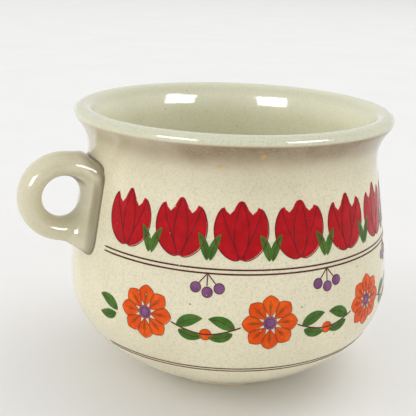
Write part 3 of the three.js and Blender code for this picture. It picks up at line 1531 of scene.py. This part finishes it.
@dataclass
class Frieze:
    """The fired decoration: a row of tulips over a garland of rosettes, between pen lines."""

    chart: WallChart
    first_angle: float = 20.0
    units: int = 8
    tulip_foot: float = 54.5
    upper_rule: float = 51.6
    garland: float = 36.0
    lower_rule: float = 19.5
    rule_pen: float = 0.5
    rule_gap: float = 1.3
    foot_leaf: LeafPlace = LeafPlace(Leaf(8.5, 2.6, 30), 0.5, -0.6, 6)
    garland_leaves: tuple[LeafPlace, ...] = (
        LeafPlace(Leaf(8.6, 3.6, 40), 10.2, -2.2, 48),
        LeafPlace(Leaf(7.6, 3.2, -40), 10.8, -3.2, 122),
    )
    swag_start: float = 8.4
    swag_drop: float = 1.2
    swag_sag: float = 2.6
    swag_steps: int = 40
    swag_pen: float = 0.42
    bud_radius: float = 1.7
    bud_pen: float = 0.28
    bud_shift: tuple[float, float] = (0.14, -0.12)

    @property
    def pitch(self) -> float:
        """Angle that one repeat takes, in degrees."""
        return (360 - 2 * self.first_angle) / self.units

    def rule(self, sheet: PrintSheet, height: float) -> None:
        """Prints a double line round the wall.

        Args:
            sheet: The sheet to print on.
            height: Height of the upper line.
        """
        start, end = (self.chart.round_at(a) for a in (self.first_angle, 360 - self.first_angle))
        along = np.linspace(start, end, round(end - start))
        for step in (0, 1):
            up = self.chart.up_at(height) - step * self.rule_gap
            sheet.stroke(Ink.BROWN, np.stack([along, np.full_like(along, up)], axis=1), self.rule_pen)

    def unit(self, sheet: PrintSheet, number: int) -> None:
        """Prints one repeat, and what links it to the next one.

        Args:
            sheet: The sheet to print on.
            number: Which repeat it is, counted from the handle.
        """
        start = self.first_angle + number * self.pitch
        first, middle, second, end = (
            self.chart.round_at(start + quarter / 4 * self.pitch)
            for quarter in (1, 2, 3, 4)
        )
        linked = number < self.units - 1
        foot = self.chart.up_at(self.tulip_foot)
        for along in (first, second):
            Tulip().draw(sheet, Spot(along, foot))
        for along in (middle, end) if linked else (middle,):
            for side in (1, -1):
                self.foot_leaf.draw(sheet, Spot(along, foot), side)
        rosette = Spot(middle, self.chart.up_at(self.garland))
        Rosette().draw(sheet, rosette)
        for side in (-1, 1):
            for leaf in self.garland_leaves:
                leaf.draw(sheet, rosette, side)
        if linked:
            self.swag(sheet, rosette)
            Berries().draw(sheet, Spot(end, self.chart.up_at(self.upper_rule) - self.rule_gap))

    def swag(self, sheet: PrintSheet, rosette: Spot) -> None:
        """Prints the stem from one rosette to the next, with a bud in its middle.

        Args:
            sheet: The sheet to print on.
            rosette: Place of the first rosette.
        """
        share = np.linspace(0, 1, self.swag_steps)
        span = self.chart.round_at(self.pitch)
        along = rosette.along + self.swag_start + share * (span - 2 * self.swag_start)
        up = rosette.up - self.swag_drop - self.swag_sag * np.sin(math.pi * share)
        sheet.stroke(Ink.BROWN, np.stack([along, up], axis=1), self.swag_pen)
        low = Spot(rosette.along + span / 2, rosette.up - self.swag_drop - self.swag_sag)
        bud = low.set(disc(self.bud_radius))
        sheet.fill(Ink.ORANGE, bud)
        sheet.stroke(Ink.RUST, bud + self.bud_shift, self.bud_pen, closed=True)

    def build(self) -> None:
        """Prints the whole decoration and wraps it on to the wall."""
        sheet = PrintSheet(self.chart)
        self.rule(sheet, self.upper_rule)
        self.rule(sheet, self.lower_rule)
        for number in range(self.units):
            self.unit(sheet, number)
        sheet.build()


class Reach(Enum):
    """Which light of a lamp reaches the pieces: (scattered, mirrored)."""

    FULL = (True, True)
    FILL = (True, False)
    GLINT = (False, True)


@dataclass(frozen=True)
class Window:
    """A soft rectangular light, seen from the bowl at an angle and a height, with its size in degrees too."""

    name: str
    angle: float
    height: float
    width_angle: float
    height_angle: float
    distance: float
    power: float
    reach: Reach = Reach.FULL


@dataclass
class Studio:
    """Camera, lights and floor. Angles turn about the bowl, from the camera's side to its right."""

    turn: float = -24.0
    distance: float = 275.1
    elevation: float = 17.08
    aim_side: float = -7.43
    aim_height: float = 53.76
    roll: float = 1.93
    focal_pixels: float = 800.0
    picture_pixels: float = 416.0
    sensor: float = 36.0
    clip_start: float = 10.0
    floor_half: float = 6000.0
    room_tone: Colour = srgb(250, 251, 255)
    room_horizon: float = 0.96
    room_walls: float = 0.72
    room_ceiling: float = 0.4
    horizon_levels: tuple[float, float] = (0.02, 0.2)
    ceiling_levels: tuple[float, float] = (0.5, 0.8)
    windows: tuple[Window, ...] = (
        Window("glint_right", 54, 25, 28, 20, 1100, 11, Reach.GLINT),
        Window("glint_left", -37.5, 25, 27, 20, 1100, 11, Reach.GLINT),
        Window("fill_right", 50.5, 15.5, 31, 25, 3300, 9.0, Reach.FILL),
        Window("fill_left", -75, 25, 40, 40, 4200, 54, Reach.FILL),
        Window("fill_left_back", -118, 22, 40, 36, 4200, 18, Reach.FILL),
        Window("fill_back", 180, 38, 60, 30, 6000, 63, Reach.FILL),
        Window("fill_low", -35, 8, 50, 12, 4200, 12.0, Reach.FILL),
        Window("ceiling_front", -20, 72, 56, 56, 4200, 18),
        Window("ceiling_back", 112, 60, 44, 44, 4200, 67, Reach.FILL),
    )

    def around(self, point: Sequence[float]) -> Vector:
        """Turns a point given from the camera's side into the part's frame, in metres."""
        return (Matrix.Rotation(math.radians(self.turn), 3, "Z") @ Vector(point) + AXIS) * MM

    def add_camera(self) -> None:
        """Places the camera at the photographed angle."""
        rise = math.radians(self.elevation)
        back, above = self.distance * math.cos(rise), self.distance * math.sin(rise)
        eye = self.around((0, -back, self.aim_height + above))
        aim = self.around((self.aim_side, 0, self.aim_height))
        data = bpy.data.cameras.new("camera")
        data.sensor_width = self.sensor
        data.lens = self.focal_pixels / self.picture_pixels * self.sensor
        data.clip_start = self.clip_start * MM
        camera = bpy.data.objects.new("camera", data)
        facing = (aim - eye).to_track_quat("-Z", "Y").to_matrix()
        rolled = facing @ Matrix.Rotation(math.radians(self.roll), 3, "Z")
        camera.matrix_world = Matrix.LocRotScale(eye, rolled.to_quaternion(), None)
        bpy.context.scene.collection.objects.link(camera)
        bpy.context.scene.camera = camera

    def add_window(self, window: Window) -> None:
        """Places one soft light so that it faces the bowl.

        Args:
            window: The light.
        """
        side, rise = math.radians(window.angle), math.radians(window.height)
        level = math.cos(rise) * window.distance
        middle = (0, 0, self.aim_height)
        spot = (level * math.sin(side), -level * math.cos(side), middle[2] + window.distance * math.sin(rise))
        data = bpy.data.lights.new(window.name, "AREA")
        data.shape = "RECTANGLE"
        data.size = 2 * window.distance * math.tan(math.radians(window.width_angle / 2)) * MM
        data.size_y = 2 * window.distance * math.tan(math.radians(window.height_angle / 2)) * MM
        data.energy = window.power
        light = bpy.data.objects.new(window.name, data)
        light.visible_camera = False
        light.visible_diffuse, light.visible_glossy = window.reach.value
        light.location = self.around(spot)
        light.rotation_euler = (self.around(middle) - light.location).to_track_quat("-Z", "Y").to_euler()
        bpy.context.scene.collection.objects.link(light)

    def add_room(self) -> None:
        """Lights everything from pale walls all round and a dimmer ceiling."""
        world = bpy.data.worlds.new("soft_room")
        graph = ShaderGraph(world)
        level = graph.axis(graph.add("ShaderNodeTexCoord", output="Generated"), "Z")
        walls, ceiling, horizon = (
            graph.add("ShaderNodeBackground", None, {"Color": self.room_tone, "Strength": strength})
            for strength in (self.room_walls, self.room_ceiling, self.room_horizon)
        )
        above, up = level.rise(*self.ceiling_levels), level.rise(*self.horizon_levels)
        upper = graph.add("ShaderNodeMixShader", None, {0: above, 1: walls, 2: ceiling})
        light = graph.add("ShaderNodeMixShader", None, {0: up, 1: horizon, 2: upper})
        graph.add("ShaderNodeOutputWorld", None, {"Surface": light})
        bpy.context.scene.world = world

    def add_floor(self, finish: PaleFloor) -> None:
        """Lays the floor under the bowl.

        Args:
            finish: Its finish.
        """
        half = self.floor_half * MM
        mesh = bpy.data.meshes.new("floor")
        corners = [(x * half, y * half, 0) for x, y in ((-1, -1), (1, -1), (1, 1), (-1, 1))]
        mesh.from_pydata(corners, [], [(0, 1, 2, 3)])
        mesh.materials.append(finish.material())
        floor = bpy.data.objects.new("floor", mesh)
        bpy.context.scene.collection.objects.link(floor)

    def build(self) -> None:
        """Sets up the whole studio."""
        bpy.context.scene.view_settings.view_transform = "Standard"
        self.add_camera()
        for window in self.windows:
            self.add_window(window)
        self.add_room()
        self.add_floor(PaleFloor())


def main() -> None:
    """Builds every piece in order."""
    logging.basicConfig(level=logging.INFO, format="%(message)s")
    Studio().build()
    bowl = TurnedBowl()
    bowl.build()
    chart = WallChart(bowl.outer_wall())
    outside = Glaze(
        name="outer_glaze",
        body=srgb(226, 218, 188),
        cloud=srgb(218, 210, 180),
        lip=srgb(210, 209, 183),
        lip_heights=(86.9, 88.2),
        toast_and_shade=ToastAndShade(),
        marks_and_shade=tuple(RustMark(from_axis(chart.spot(angle, height))) for angle, height in RUST_PLACES),
        grain_share=0.3,
    )
    inside = Glaze("inner_glaze", srgb(229, 227, 201), srgb(222, 220, 192), lip=srgb(213, 212, 186))
    bowl.dress(BareClay(), outside, inside)
    handle = LoopHandle(chart, bowl.neck_height)
    handle.build()
    # Painted shade at the handle's joint, and a darker rim along the top of the finger hole.
    marks_and_shade = (PaintedJointShade(*chart.straight(*HANDLE_SPAN)), DarkHoleRim(from_axis(handle.hole_middle)))
    handle.dress(Glaze("handle_glaze", srgb(212, 205, 175), srgb(202, 195, 165), marks_and_shade=marks_and_shade))
    seam = SlipSeam(chart, handle)
    seam.build()
    # The bead is real; its dark glaze is painted shade along the joint.
    seam.dress(Glaze("slip_glaze_and_shade", srgb(142, 126, 96), srgb(122, 106, 78)))
    Frieze(chart).build()


if __name__ == "__main__":
    main()
